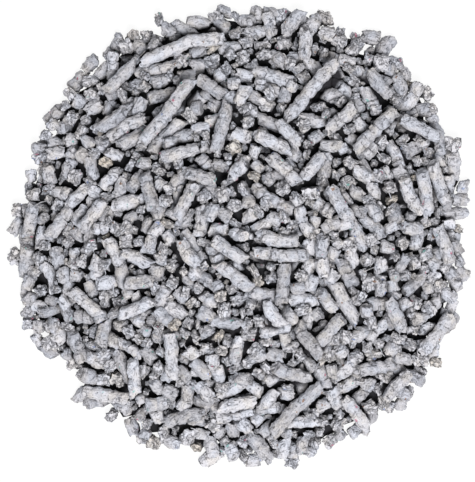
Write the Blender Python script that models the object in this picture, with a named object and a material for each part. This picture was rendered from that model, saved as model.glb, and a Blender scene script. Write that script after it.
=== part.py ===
"""A heap of cat litter: round pellets of pressed recycled paper, poured out on a flat floor.

The inside of the heap is one packed core. Pellets are laid on the core one after the other, each where two
bearers hold it up, one on either side of its middle. The pellets that show most are joined with the core and
with each other into the bed. The pellets that lie free on top are solids of their own, each on its bearers.
Metres, +Z up, with the origin on the floor under the middle of the heap.
"""

import math
from collections import Counter, namedtuple

import bmesh
import bpy
import numpy as np
from mathutils import Matrix
from mathutils.bvhtree import BVHTree

MM = 0.001

# The heap: its height and radius, and how far its foot reaches as shares of that radius, at even steps round
# the origin from +X towards +Y. The ends of single pellets stray past the foot by up to a share of it.
HEAP_HEIGHT = 34 * MM
HEAP_RADIUS = 90 * MM
FOOT_SHARES = (
    0.99, 1.05, 1.06, 1.06, 1.04, 1.02, 1.02, 1.02, 0.98,
    1.00, 1.00, 0.96, 0.97, 0.97, 0.99, 1.01, 1.03, 1.01,
)
RIM_HEIGHT = 4.2 * MM
FARTHEST_STRAY = 0.06

# The pellets as they leave the die: one diameter, broken off at many lengths.
PELLET_DIAMETER = 5.0 * MM
DIAMETER_SPREAD = 0.07
PELLET_LENGTH = 9.0 * MM
LENGTH_SPREAD = 0.36
SHORTEST_PELLET = 4.5 * MM
LONGEST_PELLET = 17 * MM
END_SLANT = 0.28
STEEPEST_SLOPE = 0.7

# The packed inside of the heap, and the skirt of fines that holds the lowest pellets.
CORE_DEPTH = 6.2 * MM
SKIRT_HEIGHT = 1.0 * MM
SKIRT_INSET = 3.4 * MM
SKIRT_SCALE = 1 + SKIRT_INSET / HEAP_RADIUS
CORE_SECTORS = 36
CORE_RINGS = 12

# How pieces meet: joined pellets sink into what bears them, and loose ones lie clear of it.
SINK = 0.45 * MM
SEAT_GAP = 0.25 * MM
SIDE_GAP = 0.8 * MM
LIFT_STEP = 0.06 * MM
CLOSE_UP = 0.6 * MM
FLOOR_TRIM = 0.2 * MM

# The bed has the pellets of its rim, in each square of this size those that show most, and their bearers.
RIM_SHARE = 0.93
SHOWN_SQUARE = 27.5 * MM
SHOWN_PER_SQUARE = 3
BED_SIDES = 6
BED_FULLNESS = 1.07
LOOSE_SIDES = 10
END_ROUNDING = 0.6 * MM

# The loose pellets, in the order in which they are laid, the long ones last and on top. For each: x and y as
# shares of the heap's radius, its length in pellet diameters, its heading in degrees from +X, and its bow in
# pellet diameters.
SHORT_PELLETS = (
    (-0.11, 0.64, 2.2, 140, 0),
    (-0.41, -0.16, 2.2, 10, 0),
    (0.29, 0.82, 2.2, 80, 0),
    (-0.53, 0.50, 2.2, 40, 0),
    (0.14, -0.31, 2.4, 120, 0.23),
    (-0.21, -0.06, 2.4, 125, 0.23),
    (-0.89, 0.09, 2.4, 80, 0),
    (-0.17, 0.27, 2.4, 165, 0),
    (-0.70, -0.47, 2.4, 105, 0),
    (0.31, 0.30, 2.4, 50, 0),
    (0.24, 0.44, 2.4, 125, 0),
    (0.40, -0.39, 2.7, 50, 0),
    (-0.22, 0.16, 2.7, 70, 0),
    (0.67, -0.62, 2.7, 45, 0.15),
    (0.69, -0.33, 2.7, 115, 0),
    (0.00, -0.71, 2.7, 15, 0),
    (0.42, 0.13, 2.7, 115, 0),
    (0.58, 0.66, 2.7, 120, 0.23),
    (-0.62, 0.11, 2.7, 45, 0),
    (-0.37, 0.19, 2.7, 105, 0),
    (0.22, -0.57, 2.8, 165, 0.17),
    (-0.44, -0.60, 2.8, 100, 0),
    (-0.64, -0.26, 2.8, 140, 0),
    (-0.43, -0.30, 2.8, 30, 0),
    (-0.01, -0.14, 2.8, 140, 0),
    (-0.06, -0.06, 2.8, 155, 0),
    (0.88, -0.04, 2.8, 100, 0),
    (0.73, 0.21, 2.8, 115, 0.15),
    (0.14, 0.41, 2.8, 155, 0),
    (-0.77, 0.07, 2.8, 50, 0),
    (0.58, -0.54, 2.8, 5, 0),
    (0.42, 0.52, 2.8, 35, 0),
    (-0.24, 0.39, 2.8, 20, 0),
)
LONG_PELLETS = (
    (0.50, -0.74, 3.0, 130, 0),
    (0.29, -0.40, 3.0, 130, 0),
    (0.17, 0.01, 3.0, 170, 0.17),
    (0.21, -0.20, 3.0, 80, 0),
    (-0.24, -0.74, 3.0, 20, 0),
    (0.21, 0.30, 3.0, 130, 0),
    (0.79, 0.47, 3.0, 160, 0),
    (-0.50, 0.69, 3.0, 50, 0),
    (0.17, -0.07, 3.2, 175, 0.09),
    (-0.27, -0.49, 3.2, 90, 0),
    (-0.57, -0.64, 3.2, 170, 0),
    (0.86, 0.26, 3.2, 110, 0),
    (0.80, 0.22, 3.4, 90, 0),
    (0.87, -0.41, 3.6, 60, 0),
    (-0.07, 0.46, 4.0, 70, 0),
    (0.60, 0.49, 4.6, 40, 0.09),
    (0.21, -0.73, 5.4, 45, 0.06),
    (0.33, 0.63, 5.8, 45, 0.08),
    (-0.28, 0.54, 6.0, 40, 0.06),
    (-0.23, 0.86, 6.6, 25, 0.11),
)

# How finely the height of the laid pellets is kept, and how hard a place is looked for.
CELL = 0.7 * MM
SEED = 11
SPOT_COUNT = 10
TURNS_TRIED = 6
MISSES_ALLOWED = 100
PROUD_MOST = 0.45 * PELLET_DIAMETER
UNDER_LOOSE = 0.4 * PELLET_DIAMETER
STATIONS = 14
LOOSE_DRIFT = 1.0 * MM
LOOSE_TURN = math.radians(8)
ROWS_ACROSS = 7

PAPER_COLOUR = (0.60, 0.59, 0.63, 1.0)
FINES_COLOUR = (0.50, 0.49, 0.52, 1.0)

Pellet = namedtuple("Pellet", "x y heading half radius height slope bearers bow loose")
CORE = -1


def foot_reach(angle):
    """How far the foot of the heap reaches at this angle, smooth between the stated steps."""
    reach = HEAP_RADIUS * np.array(FOOT_SHARES)
    step = np.asarray(angle) / (2 * math.pi) * len(reach)
    before = np.floor(step).astype(int)
    part = step - before
    part = part * part * (3 - 2 * part)
    return reach[before % len(reach)] * (1 - part) + reach[(before + 1) % len(reach)] * part


def surface_height(x, y):
    """The height that the laid pellets come up to: a dome on a rim, and nothing past the foot."""
    share = np.hypot(x, y) / foot_reach(np.arctan2(y, x))
    dome = RIM_HEIGHT + (HEAP_HEIGHT - RIM_HEIGHT) * (1 - share * share)
    return np.where(share < 1, dome, 0.0)


def core_height(x, y):
    """The height of the packed inside, which levels off as a skirt near the foot."""
    return np.maximum(surface_height(x, y) - CORE_DEPTH, SKIRT_HEIGHT)


class Pile:
    """The heap while it grows: for each cell of the floor, how high it is and which pellet is on top."""

    def __init__(self):
        reach = HEAP_RADIUS * max(FOOT_SHARES) + PELLET_DIAMETER
        self.low = -reach
        self.count = int(2 * reach / CELL) + 1
        places = self.low + CELL * np.arange(self.count)
        self.x, self.y = np.meshgrid(places, places)
        self.wanted = surface_height(self.x, self.y)
        on_core = surface_height(self.x * SKIRT_SCALE, self.y * SKIRT_SCALE) > 0
        self.top = np.where(on_core, core_height(self.x, self.y), 0.0)
        self.owner = np.full(self.top.shape, CORE)
        self.kept_clear = np.zeros(self.top.shape, bool)
        self.inside = np.argwhere(self.wanted > 0)
        rim_x, rim_y = self.x / RIM_SHARE, self.y / RIM_SHARE
        self.rim = np.argwhere((self.wanted > 0) & (surface_height(rim_x, rim_y) == 0))
        self.pellets = []

    def cell(self, place):
        return np.clip(((place - self.low) / CELL + 0.5).astype(int), 0, self.count - 1)

    def rest(self, x, y, heading, half, radius, gap):
        """Lies a pellet down. The two cells that lift its middle highest, one on either side, bear it."""
        across = np.linspace(-0.95, 0.95, ROWS_ACROSS) * radius
        dome = np.sqrt(radius**2 - across**2)
        middle = STATIONS // 2
        slope = 0.0
        for _ in range(2):
            lean = math.hypot(1, slope)
            along = np.linspace(-0.9, 0.9, STATIONS) * half / lean
            row = self.cell(y + along[:, None] * math.sin(heading) + across * math.cos(heading))
            column = self.cell(x + along[:, None] * math.cos(heading) - across * math.sin(heading))
            needed = self.top[row, column] + dome * lean
            highest = needed.max(axis=1)
            behind, ahead = along[:middle, None], along[None, middle:]
            lifted = (highest[:middle, None] * ahead - highest[None, middle:] * behind) / (ahead - behind)
            first, second = np.unravel_index(lifted.argmax(), lifted.shape)
            height = lifted[first, second]
            second += middle
            slope = (highest[second] - highest[first]) / (along[second] - along[first])
        bearers = set()
        for station in (first, second):
            touching = needed[station].argmax()
            bearers.add(int(self.owner[row[station, touching], column[station, touching]]))
        blocked = bool(self.kept_clear[row, column].any())
        return height + gap, slope, bearers, blocked

    def lay(self, pellet):
        """Adds a pellet to the pile and raises the cells under its upper side."""
        lean = math.hypot(1, pellet.slope)
        reach = pellet.half + pellet.radius
        rows = slice(*(self.cell(np.array([pellet.y - reach, pellet.y + reach])) + (0, 1)))
        columns = slice(*(self.cell(np.array([pellet.x - reach, pellet.x + reach])) + (0, 1)))
        dx = self.x[rows, columns] - pellet.x
        dy = self.y[rows, columns] - pellet.y
        along = dx * math.cos(pellet.heading) + dy * math.sin(pellet.heading)
        across = dy * math.cos(pellet.heading) - dx * math.sin(pellet.heading)
        covered = (abs(along) < 0.95 * pellet.half / lean) & (abs(across) < pellet.radius)
        dome = np.sqrt(np.maximum(pellet.radius**2 - across**2, 0)) * lean
        height = pellet.height + pellet.slope * along + dome
        raised = covered & (height > self.top[rows, columns])
        self.top[rows, columns][raised] = height[raised]
        self.owner[rows, columns][raised] = len(self.pellets)
        if pellet.loose:
            margin = SIDE_GAP + pellet.bow
            near = (abs(along) < pellet.half / lean + margin) & (abs(across) < pellet.radius + margin)
            self.kept_clear[rows, columns] |= near
        self.pellets.append(pellet)

    def fill(self, rng, cells, below):
        """Lays pellets in the lowest of these cells, until they come up to `below` under the surface."""
        tolerance = PROUD_MOST
        misses = 0
        while misses < MISSES_ALLOWED:
            spots = cells[rng.integers(len(cells), size=SPOT_COUNT)]
            lacking = (self.wanted - self.top)[spots[:, 0], spots[:, 1]] - below
            row, column = spots[lacking.argmax()]
            misses += 1
            if lacking.max() < tolerance or self.kept_clear[row, column]:
                continue
            half = np.clip(
                rng.lognormal(math.log(PELLET_LENGTH), LENGTH_SPREAD), SHORTEST_PELLET, LONGEST_PELLET
            ) / 2
            radius = PELLET_DIAMETER / 2 * rng.uniform(1 - DIAMETER_SPREAD, 1 + DIAMETER_SPREAD)
            stray = FARTHEST_STRAY * rng.random()
            place = self.settle(rng, self.x[row, column], self.y[row, column], rng.uniform(0, math.pi),
                                half, radius, -SINK, 0.35 * PELLET_DIAMETER, math.pi, stray)
            if place is None:
                continue
            pellet = Pellet(**place, half=half, radius=radius, bow=0.0, loose=False)
            proud = pellet.height + radius - float(surface_height(pellet.x, pellet.y)) + below
            if proud < tolerance:
                self.lay(pellet)
                misses = 0

    def settle(self, rng, x, y, heading, half, radius, gap, drift, turn, stray=0.0, crossing=False):
        """Tries a few places round this one and returns the one where the pellet comes to lie lowest."""
        found = []
        for _ in range(TURNS_TRIED):
            px, py = x + rng.normal(0, drift), y + rng.normal(0, drift)
            angle = heading + rng.uniform(-turn, turn)
            if crossing or within_foot(px, py, angle, half, radius, stray):
                height, slope, bearers, blocked = self.rest(px, py, angle, half, radius, gap)
                if crossing or not blocked and abs(slope) < STEEPEST_SLOPE:
                    lying = height - float(surface_height(px, py)) + abs(slope) * PELLET_DIAMETER
                    found.append((lying, dict(x=px, y=py, heading=angle, height=height, slope=slope,
                                              bearers=bearers)))
        return min(found, key=lambda place: place[0])[1] if found else None

    def lay_loose(self, rng):
        """Lays the loose pellets about where they are stated, clear of what bears them."""
        for x, y, length, heading, bow in SHORT_PELLETS + LONG_PELLETS:
            half, bow, radius = length * PELLET_DIAMETER / 2, bow * PELLET_DIAMETER, PELLET_DIAMETER / 2
            place = self.settle(rng, x * HEAP_RADIUS, y * HEAP_RADIUS, math.radians(heading), half,
                                radius + bow, SEAT_GAP - bow, LOOSE_DRIFT, LOOSE_TURN, crossing=True)
            self.lay(Pellet(**place, half=half, radius=radius, bow=bow, loose=True))

    def joined(self):
        """The numbers of the pellets that the bed is modelled with, down to those that lie on the core."""
        showing = np.bincount(self.owner[self.owner >= 0], minlength=len(self.pellets))
        waiting = [bearer for pellet in self.pellets if pellet.loose for bearer in pellet.bearers]
        in_square = Counter()
        for number in np.argsort(-showing, kind="stable"):
            pellet = self.pellets[number]
            square = (pellet.x // SHOWN_SQUARE, pellet.y // SHOWN_SQUARE)
            at_rim = surface_height(pellet.x / RIM_SHARE, pellet.y / RIM_SHARE) == 0
            if at_rim or in_square[square] < SHOWN_PER_SQUARE:
                waiting.append(int(number))
                in_square[square] += 1
        chosen = set()
        while waiting:
            number = waiting.pop()
            if number != CORE and number not in chosen and not self.pellets[number].loose:
                chosen.add(number)
                waiting += self.pellets[number].bearers
        return sorted(chosen)


def within_foot(x, y, heading, half, radius, stray):
    """Whether the middle of a pellet lies within the foot of the heap, and its ends no farther past it than
    this share."""
    for end in (-half, 0.0, half):
        px, py = x + end * math.cos(heading), y + end * math.sin(heading)
        foot = foot_reach(math.atan2(py, px))
        if math.hypot(px, py) > (foot * (1 + stray) - 0.6 * radius if end else foot - radius):
            return False
    return True


def placed(pellet, roll):
    """The matrix that takes a pellet from its own frame, with its length along X, to its place."""
    return (
        Matrix.Translation((pellet.x, pellet.y, pellet.height))
        @ Matrix.Rotation(pellet.heading, 4, "Z")
        @ Matrix.Rotation(-math.atan(pellet.slope), 4, "Y")
        @ Matrix.Rotation(roll, 4, "X")
    )


def add_round(bm, radius, length, sides):
    """Adds a plain round bar along X to bm and returns its vertices."""
    made = bmesh.ops.create_cone(
        bm, cap_ends=True, segments=sides, radius1=radius, radius2=radius, depth=length,
        matrix=Matrix.Rotation(math.pi / 2, 4, "Y"),
    )
    return made["verts"]


def break_ends(verts, half, rng):
    """Slants both end faces, as where a pellet has snapped off."""
    for side in (-1, 1):
        slant_y, slant_z = rng.uniform(-END_SLANT, END_SLANT, 2)
        for vert in verts:
            if vert.co.x * side > half * 0.9:
                vert.co.x += slant_y * vert.co.y + slant_z * vert.co.z


def collection(name):
    made = bpy.data.collections.new(name)
    bpy.context.scene.collection.children.link(made)
    return made


def object_from(bm, name, where):
    mesh = bpy.data.meshes.new(name)
    bm.to_mesh(mesh)
    bm.free()
    made = bpy.data.objects.new(name, mesh)
    where.objects.link(made)
    return made


def material(name, colour):
    made = bpy.data.materials.new(name)
    made.use_nodes = True
    shader = made.node_tree.nodes["Principled BSDF"]
    shader.inputs["Base Color"].default_value = colour
    shader.inputs["Roughness"].default_value = 0.95
    return made


def make_core(where):
    """The packed inside: a half ball, drawn out to the foot and under the laid pellets, with a plinth that
    the floor cut takes off."""
    bm = bmesh.new()
    bmesh.ops.create_uvsphere(bm, u_segments=CORE_SECTORS, v_segments=2 * CORE_RINGS, radius=1)
    bmesh.ops.delete(bm, geom=[vert for vert in bm.verts if vert.co.z < -0.01], context="VERTS")
    rim = [edge for edge in bm.edges if edge.is_boundary]
    skirt = bmesh.ops.extrude_edge_only(bm, edges=rim)
    foot = [item for item in skirt["geom"] if isinstance(item, bmesh.types.BMVert)]
    bmesh.ops.contextual_create(bm, geom=[edge for edge in bm.edges if edge.is_boundary])
    for vert in bm.verts:
        share = math.hypot(vert.co.x, vert.co.y)
        angle = math.atan2(vert.co.y, vert.co.x)
        reach = float(foot_reach(angle)) / SKIRT_SCALE
        x, y = share * reach * math.cos(angle), share * reach * math.sin(angle)
        vert.co = (x, y, -FLOOR_TRIM if vert in foot else float(core_height(x, y)))
    bmesh.ops.recalc_face_normals(bm, faces=bm.faces)
    return object_from(bm, "litter_bed", where)


def make_joined_pellets(pile, core, rng, where):
    """The pellets of the bed. Each is let down until it cuts into what bears it, so the bed is one body."""
    together = bmesh.new()
    solids = {CORE: BVHTree.FromObject(core, bpy.context.evaluated_depsgraph_get())}
    for number in pile.joined():
        pellet = pile.pellets[number]
        bm = bmesh.new()
        add_round(bm, BED_FULLNESS * pellet.radius, 2 * pellet.half, BED_SIDES)
        break_ends(bm.verts, pellet.half, rng)
        bmesh.ops.transform(bm, matrix=placed(pellet, rng.uniform(0, math.pi)), verts=bm.verts)
        bearing = [solids[bearer] for bearer in pellet.bearers | {CORE} if bearer in solids]
        held = False
        while not held:
            held = any(BVHTree.FromBMesh(bm).overlap(solid) for solid in bearing)
            bmesh.ops.translate(bm, vec=(0, 0, -LIFT_STEP), verts=bm.verts)
        solids[number] = BVHTree.FromBMesh(bm)
        mesh = bpy.data.meshes.new("one_pellet")
        bm.to_mesh(mesh)
        bm.free()
        together.from_mesh(mesh)
        bpy.data.meshes.remove(mesh)
    return object_from(together, "joined_pellets", where)


def make_floor(where):
    """A slab that is taken off everything under the floor."""
    side = 3 * HEAP_RADIUS
    bm = bmesh.new()
    bmesh.ops.create_cube(bm, size=1, matrix=Matrix.Diagonal((side, side, PELLET_DIAMETER, 1)))
    bmesh.ops.translate(bm, vec=(0, 0, -PELLET_DIAMETER / 2), verts=bm.verts)
    return object_from(bm, "floor_cut", where)


def make_bed(pile, rng, parts, cutters):
    bed = make_core(parts)
    pellets = make_joined_pellets(pile, bed, rng, cutters)
    for tool, operation in ((pellets, "UNION"), (make_floor(cutters), "DIFFERENCE")):
        tool.hide_render = True
        tool.display_type = "WIRE"
        boolean = bed.modifiers.new(tool.name, "BOOLEAN")
        boolean.operation = operation
        boolean.solver = "EXACT"
        boolean.use_self = operation == "UNION"
        boolean.object = tool
    bed.data.materials.append(material("packed_litter", FINES_COLOUR))
    return bed


def make_loose_pellet(name, pellet, rng, where):
    """A whole pellet: a round bar with a ring of edges in the middle for its bow, and rounded, broken ends."""
    bm = bmesh.new()
    add_round(bm, pellet.radius, 2 * pellet.half, LOOSE_SIDES)
    ends = [edge for edge in bm.edges if edge.verts[0].co.x * edge.verts[1].co.x > 0]
    bmesh.ops.bevel(bm, geom=ends, offset=END_ROUNDING, segments=1, affect="EDGES")
    if pellet.bow:
        everything = bm.verts[:] + bm.edges[:] + bm.faces[:]
        bmesh.ops.bisect_plane(bm, geom=everything, plane_co=(0, 0, 0), plane_no=(1, 0, 0))
    break_ends(bm.verts, pellet.half, rng)
    for vert in bm.verts:
        share = vert.co.x / pellet.half
        vert.co.y += pellet.bow * (0.5 - share * share)
    made = object_from(bm, name, where)
    made.matrix_world = placed(pellet, 0.0)
    made.data.shade_smooth()
    made.data.set_sharp_from_angle(angle=math.radians(40))
    return made


def solid_in_place(made, swelling):
    """The surface of an object where it stands, moved out by this much."""
    bm = bmesh.new()
    bm.from_mesh(made.data)
    bm.normal_update()
    for vert in bm.verts:
        vert.co += vert.normal * swelling
    bm.transform(made.matrix_world)
    solid = BVHTree.FromBMesh(bm)
    bm.free()
    return solid


def make_loose_pellets(pile, bed, rng, parts):
    """Makes the loose pellets and lifts each to where it is just clear of the bed and of the others."""
    paper = material("pressed_paper", PAPER_COLOUR)
    under = [BVHTree.FromObject(bed, bpy.context.evaluated_depsgraph_get())]
    names = [f"short_pellet_{place + 1:02d}" for place in range(len(SHORT_PELLETS))]
    names += [f"long_pellet_{place + 1:02d}" for place in range(len(LONG_PELLETS))]
    for name, pellet in zip(names, (pellet for pellet in pile.pellets if pellet.loose)):
        made = make_loose_pellet(name, pellet, rng, parts)
        made.data.materials.append(paper)
        made.location.z -= CLOSE_UP
        bpy.context.view_layer.update()
        while any(solid_in_place(made, SEAT_GAP).overlap(other) for other in under):
            made.location.z += LIFT_STEP
            bpy.context.view_layer.update()
        under.append(solid_in_place(made, 0))


def main():
    for old in list(bpy.data.objects):
        bpy.data.objects.remove(old)
    parts = collection("cat_litter_heap")
    cutters = collection("cutters")
    pile = Pile()
    pile.fill(np.random.default_rng(SEED), pile.rim, 0.0)
    pile.fill(np.random.default_rng(SEED + 1), pile.inside, UNDER_LOOSE)
    pile.lay_loose(np.random.default_rng(SEED + 2))
    pile.fill(np.random.default_rng(SEED + 3), pile.inside, 0.0)
    bed = make_bed(pile, np.random.default_rng(SEED + 4), parts, cutters)
    make_loose_pellets(pile, bed, np.random.default_rng(SEED + 5), parts)


main()
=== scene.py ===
# %% [markdown]
# # A heap of paper cat litter
#
# Paper cat litter is waste paper, pulped, pressed through round holes and dried. What comes out is a rod, a
# little thinner than a pencil, which snaps into short pellets, stubs and crumbs. Here about half a litre has
# been tipped out on a white table, and we look straight down on it.
#
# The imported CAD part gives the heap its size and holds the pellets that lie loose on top. This script dresses
# it: it lays every pellet that shows, models each with its broken ends, and gives them the look of dry pulp.

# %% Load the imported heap
import math
from collections import defaultdict, namedtuple
from contextlib import contextmanager

import bmesh
import bpy
import numpy as np
from mathutils import Matrix, Vector


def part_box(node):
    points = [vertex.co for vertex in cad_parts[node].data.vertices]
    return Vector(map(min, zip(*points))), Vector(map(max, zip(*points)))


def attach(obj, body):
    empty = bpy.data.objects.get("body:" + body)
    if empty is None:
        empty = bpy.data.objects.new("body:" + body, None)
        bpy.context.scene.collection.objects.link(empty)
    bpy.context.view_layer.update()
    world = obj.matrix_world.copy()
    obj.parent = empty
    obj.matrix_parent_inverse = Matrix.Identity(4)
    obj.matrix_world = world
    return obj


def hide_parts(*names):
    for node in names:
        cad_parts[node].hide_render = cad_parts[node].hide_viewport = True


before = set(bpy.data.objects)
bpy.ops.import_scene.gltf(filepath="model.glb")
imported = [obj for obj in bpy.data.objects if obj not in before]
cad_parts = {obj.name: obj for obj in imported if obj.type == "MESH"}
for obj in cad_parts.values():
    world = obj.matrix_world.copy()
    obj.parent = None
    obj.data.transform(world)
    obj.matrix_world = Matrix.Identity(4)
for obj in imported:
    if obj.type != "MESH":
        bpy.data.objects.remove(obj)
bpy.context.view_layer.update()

MM = 0.001
print("loose pellets in the CAD:", sum("pellet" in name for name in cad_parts))

# %% [markdown]
# ## How the heap is laid
#
# Pellets in a heap hold each other up. A physics simulation of a thousand of them takes minutes, so we use a
# quicker way that gives the same look: a map of the heap's height from above. Each new pellet is put down on
# this map at a low spot and comes to rest on the two points, one on either side of its middle, that lift it
# highest. The map is then raised under it. The CAD part was laid by the same rule, from the same numbers, so
# the pellets here lie where the CAD has them.
#
# First comes the form of the heap: a low dome on a foot that isn't quite round. The foot's reach is stated
# every 20 degrees, as a share of the heap's radius.

# %% The sizes of the heap
HEAP_HEIGHT = 34 * MM
HEAP_RADIUS = 90 * MM
FOOT_SHARES = (
    0.99, 1.05, 1.06, 1.06, 1.04, 1.02, 1.02, 1.02, 0.98,
    1.00, 1.00, 0.96, 0.97, 0.97, 0.99, 1.01, 1.03, 1.01,
)
RIM_HEIGHT = 4.2 * MM
CORE_DEPTH = 6.2 * MM
SKIRT_HEIGHT = 1.0 * MM
SKIRT_INSET = 3.4 * MM
SKIRT_SCALE = 1 + SKIRT_INSET / HEAP_RADIUS


def foot_reach(angle):
    """How far the foot of the heap reaches at this angle, smooth between the stated steps."""
    reach = HEAP_RADIUS * np.array(FOOT_SHARES)
    step = np.asarray(angle) / (2 * math.pi) * len(reach)
    before = np.floor(step).astype(int)
    part = step - before
    part = part * part * (3 - 2 * part)
    return reach[before % len(reach)] * (1 - part) + reach[(before + 1) % len(reach)] * part


def surface_height(x, y):
    """The height that the laid pellets come up to: a dome on a rim, and nothing past the foot."""
    share = np.hypot(x, y) / foot_reach(np.arctan2(y, x))
    dome = RIM_HEIGHT + (HEAP_HEIGHT - RIM_HEIGHT) * (1 - share * share)
    return np.where(share < 1, dome, 0.0)


def core_height(x, y, depth=CORE_DEPTH):
    """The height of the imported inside, which levels off as a skirt near the foot."""
    return np.maximum(surface_height(x, y) - depth, SKIRT_HEIGHT)


print("heap:", 2 * HEAP_RADIUS / MM, "mm across and", HEAP_HEIGHT / MM, "mm high")

# %% [markdown]
# A record of each pellet says where its middle is, how it lies and what kind it is. A kind states a length,
# how that spreads, a least and a most, a thickness in pellet diameters and how that varies, the height that a
# spot has to lack to get one, and how far one may stand proud.

# %% The sizes of the pellets
PELLET_DIAMETER = 5.0 * MM
DIAMETER_SPREAD = 0.07
PROUD_MOST = 0.45 * PELLET_DIAMETER

Pellet = namedtuple("Pellet", "x y heading half radius height slope bow loose kind")
Kind = namedtuple("Kind", "name length spread shortest longest thickness varying lacking proud")
SNAPPED = Kind("snapped", 9.0 * MM, 0.36, 4.5 * MM, 17 * MM, 1.0, DIAMETER_SPREAD, PROUD_MOST, PROUD_MOST)
print("most pellets:", round(SNAPPED.shortest / MM, 1), "to", round(SNAPPED.longest / MM, 1), "mm long")

# %% [markdown]
# The eye picks out the pellets that lie free on top, so each is stated: x and y as shares of the heap's
# radius, its length in pellet diameters, its heading in degrees from +X, and its bow in pellet diameters.

# %% The loose pellets, read from the photograph
SHORT_PELLETS = (
    (-0.11, 0.64, 2.2, 140, 0), (-0.41, -0.16, 2.2, 10, 0), (0.29, 0.82, 2.2, 80, 0),
    (-0.53, 0.50, 2.2, 40, 0), (0.14, -0.31, 2.4, 120, 0.23), (-0.21, -0.06, 2.4, 125, 0.23),
    (-0.89, 0.09, 2.4, 80, 0), (-0.17, 0.27, 2.4, 165, 0), (-0.70, -0.47, 2.4, 105, 0),
    (0.31, 0.30, 2.4, 50, 0), (0.24, 0.44, 2.4, 125, 0), (0.40, -0.39, 2.7, 50, 0),
    (-0.22, 0.16, 2.7, 70, 0), (0.67, -0.62, 2.7, 45, 0.15), (0.69, -0.33, 2.7, 115, 0),
    (0.00, -0.71, 2.7, 15, 0), (0.42, 0.13, 2.7, 115, 0), (0.58, 0.66, 2.7, 120, 0.23),
    (-0.62, 0.11, 2.7, 45, 0), (-0.37, 0.19, 2.7, 105, 0), (0.22, -0.57, 2.8, 165, 0.17),
    (-0.44, -0.60, 2.8, 100, 0), (-0.64, -0.26, 2.8, 140, 0), (-0.43, -0.30, 2.8, 30, 0),
    (-0.01, -0.14, 2.8, 140, 0), (-0.06, -0.06, 2.8, 155, 0), (0.88, -0.04, 2.8, 100, 0),
    (0.73, 0.21, 2.8, 115, 0.15), (0.14, 0.41, 2.8, 155, 0), (-0.77, 0.07, 2.8, 50, 0),
    (0.58, -0.54, 2.8, 5, 0), (0.42, 0.52, 2.8, 35, 0), (-0.24, 0.39, 2.8, 20, 0),
)
LONG_PELLETS = (
    (0.50, -0.74, 3.0, 130, 0), (0.29, -0.40, 3.0, 130, 0), (0.17, 0.01, 3.0, 170, 0.17),
    (0.21, -0.20, 3.0, 80, 0), (-0.24, -0.74, 3.0, 20, 0), (0.21, 0.30, 3.0, 130, 0),
    (0.79, 0.47, 3.0, 160, 0), (-0.50, 0.69, 3.0, 50, 0), (0.17, -0.07, 3.2, 175, 0.09),
    (-0.27, -0.49, 3.2, 90, 0), (-0.57, -0.64, 3.2, 170, 0), (0.86, 0.26, 3.2, 110, 0),
    (0.80, 0.22, 3.4, 90, 0), (0.87, -0.41, 3.6, 60, 0), (-0.07, 0.46, 4.0, 70, 0),
    (0.60, 0.49, 4.6, 40, 0.09), (0.21, -0.73, 5.4, 45, 0.06), (0.33, 0.63, 5.8, 45, 0.08),
    (-0.28, 0.54, 6.0, 40, 0.06), (-0.23, 0.86, 6.6, 25, 0.11),
)
print("loose pellets:", len(SHORT_PELLETS), "short and", len(LONG_PELLETS), "long")

# %% [markdown]
# The map is a grid of small cells. Each holds the height of what lies there so far, the height wanted there,
# and whether a loose pellet keeps others away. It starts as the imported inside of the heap.

# %% The map of the heap
CELL = 0.7 * MM
RIM_SHARE = 0.93


class Pile:
    """The heap while it grows: for each cell of the floor, how high it is."""

    def __init__(self):
        reach = HEAP_RADIUS * max(FOOT_SHARES) + PELLET_DIAMETER
        self.low = -reach
        self.count = int(2 * reach / CELL) + 1
        places = self.low + CELL * np.arange(self.count)
        self.x, self.y = np.meshgrid(places, places)
        self.wanted = surface_height(self.x, self.y)
        on_core = surface_height(self.x * SKIRT_SCALE, self.y * SKIRT_SCALE) > 0
        self.top = np.where(on_core, core_height(self.x, self.y), 0.0)
        self.kept_clear = np.zeros(self.top.shape, bool)
        self.inside = np.argwhere(self.wanted > 0)
        self.body = surface_height(self.x / RIM_SHARE, self.y / RIM_SHARE) > 0
        self.rim = np.argwhere((self.wanted > 0) & ~self.body)
        self.pellets = []

    def cell(self, place):
        """The row or column of the cell that holds this place."""
        return np.clip(((place - self.low) / CELL + 0.5).astype(int), 0, self.count - 1)


pile = Pile()
print("map:", pile.count, "by", pile.count, "cells,", len(pile.rim), "of them in the rim of the heap")

# %% [markdown]
# At each of a few stations along a pellet, the map says how high it has to lie to clear what is under it. Of
# all pairs of stations, one on either side of its middle, the pair that lifts its middle highest bears it.
# That tilts it, so it is worked out twice.

# %% Rest a pellet on two bearers
STATIONS = 14
ROWS_ACROSS = 7
LENGTH_BORNE = 0.9
WIDTH_BORNE = 0.95


def rest(pile, x, y, heading, half, radius, gap):
    """The height and slope that a pellet comes to rest at, and whether a loose pellet is in its way."""
    across = np.linspace(-WIDTH_BORNE, WIDTH_BORNE, ROWS_ACROSS) * radius
    dome = np.sqrt(radius**2 - across**2)
    middle = STATIONS // 2
    slope = 0.0
    for _ in range(2):
        lean = math.hypot(1, slope)
        along = np.linspace(-LENGTH_BORNE, LENGTH_BORNE, STATIONS) * half / lean
        row = pile.cell(y + along[:, None] * math.sin(heading) + across * math.cos(heading))
        column = pile.cell(x + along[:, None] * math.cos(heading) - across * math.sin(heading))
        highest = (pile.top[row, column] + dome * lean).max(axis=1)
        behind, ahead = along[:middle, None], along[None, middle:]
        lifted = (highest[:middle, None] * ahead - highest[None, middle:] * behind) / (ahead - behind)
        first, second = np.unravel_index(lifted.argmax(), lifted.shape)
        height = lifted[first, second]
        second += middle
        slope = (highest[second] - highest[first]) / (along[second] - along[first])
    return height + gap, slope, bool(pile.kept_clear[row, column].any())


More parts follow.
